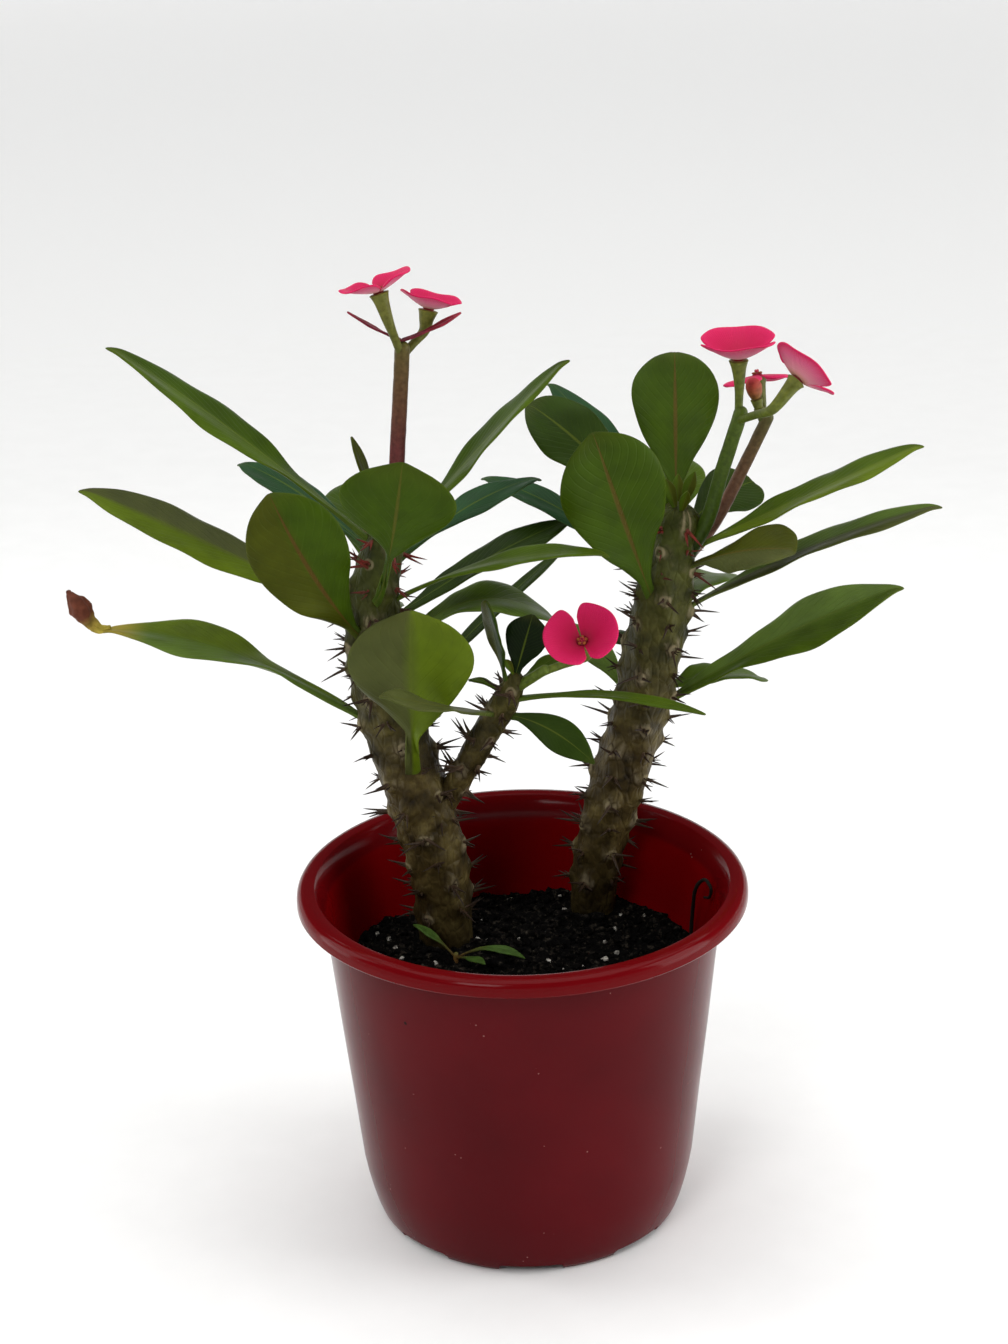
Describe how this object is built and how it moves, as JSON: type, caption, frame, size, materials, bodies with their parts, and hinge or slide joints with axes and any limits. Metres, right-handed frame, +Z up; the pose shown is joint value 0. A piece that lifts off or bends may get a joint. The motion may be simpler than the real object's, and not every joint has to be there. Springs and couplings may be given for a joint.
{
  "type": "potted crown of thorns plant",
  "caption": "Spiny succulent shrub with upright knobbly stems, spoon shaped leaves and pink flowers on stalks, growing in a round tapered plastic pot of soil.",
  "frame": {"origin": "centre of the pot's flat underside, on the surface that it stands on", "axes": "+Z up, +X to the right of the plant as pictured, +Y to its back"},
  "size_m": [0.2674, 0.1821, 0.3047],
  "materials": {
    "pot_plastic": "glossy, moulded, deep red",
    "potting_soil": "matt, crumbly, with white grit",
    "stem_bark": "matt, ridged, olive brown with grey bark",
    "leaf": "satin green with a red brown midrib",
    "flower_stalk": "satin, green turning to purple brown",
    "petal": "soft satin, hot pink, paler beneath",
    "bud": "satin, reddish green",
    "dried_leaf": "matt, shrivelled, brown",
    "dry_tendril": "matt, nearly black",
    "seedling_leaf": "satin green with reddish stems"
  },
  "bodies": {
    "root": {"bloom_branch": "petal", "bloom_left_a": "petal", "bloom_left_b": "petal", "bloom_right_a": "petal", "bloom_right_b": "petal", "bloom_right_c": "petal", "bud_right": "bud", "dried_leaf_end": "dried_leaf", "dry_tendril": "dry_tendril", "leaf_b_droop": "leaf", "leaf_b_left": "leaf", "leaf_b_long": "leaf", "leaf_b_round": "leaf", "leaf_b_small": "leaf", "leaf_b_tiny": "leaf", "leaf_b_up": "leaf", "leaf_l_arch": "leaf", "leaf_l_back_left": "leaf", "leaf_l_behind_high": "leaf", "leaf_l_behind_low": "leaf", "leaf_l_big_front": "leaf", "leaf_l_edge_on": "leaf", "leaf_l_front_left": "leaf", "leaf_l_low_left": "leaf", "leaf_l_mid_left": "leaf", "leaf_l_right_dark": "leaf", "leaf_l_right_high": "leaf", "leaf_l_right_mid": "leaf", "leaf_l_sprout": "leaf", "leaf_l_top_front": "leaf", "leaf_l_up_left": "leaf", "leaf_l_up_right": "leaf", "leaf_r_behind_high": "leaf", "leaf_r_behind_low": "leaf", "leaf_r_blue_back": "leaf", "leaf_r_dark_back": "leaf", "leaf_r_front": "leaf", "leaf_r_front_right": "leaf", "leaf_r_long_left": "leaf", "leaf_r_low_back": "leaf", "leaf_r_low_left": "leaf", "leaf_r_right_high": "leaf", "leaf_r_right_low": "leaf", "leaf_r_right_mid": "leaf", "leaf_r_round_back": "leaf", "leaf_r_tuck": "leaf", "leaf_r_upright": "leaf", "pot": "pot_plastic", "seedling": "seedling_leaf", "soil": "potting_soil", "stalk_branch": "flower_stalk", "stalk_left": "flower_stalk", "stalk_right_back": "flower_stalk", "stalk_right_front": "flower_stalk", "stem_left": "stem_bark", "stem_right": "stem_bark"}
  },
  "joints": []
}
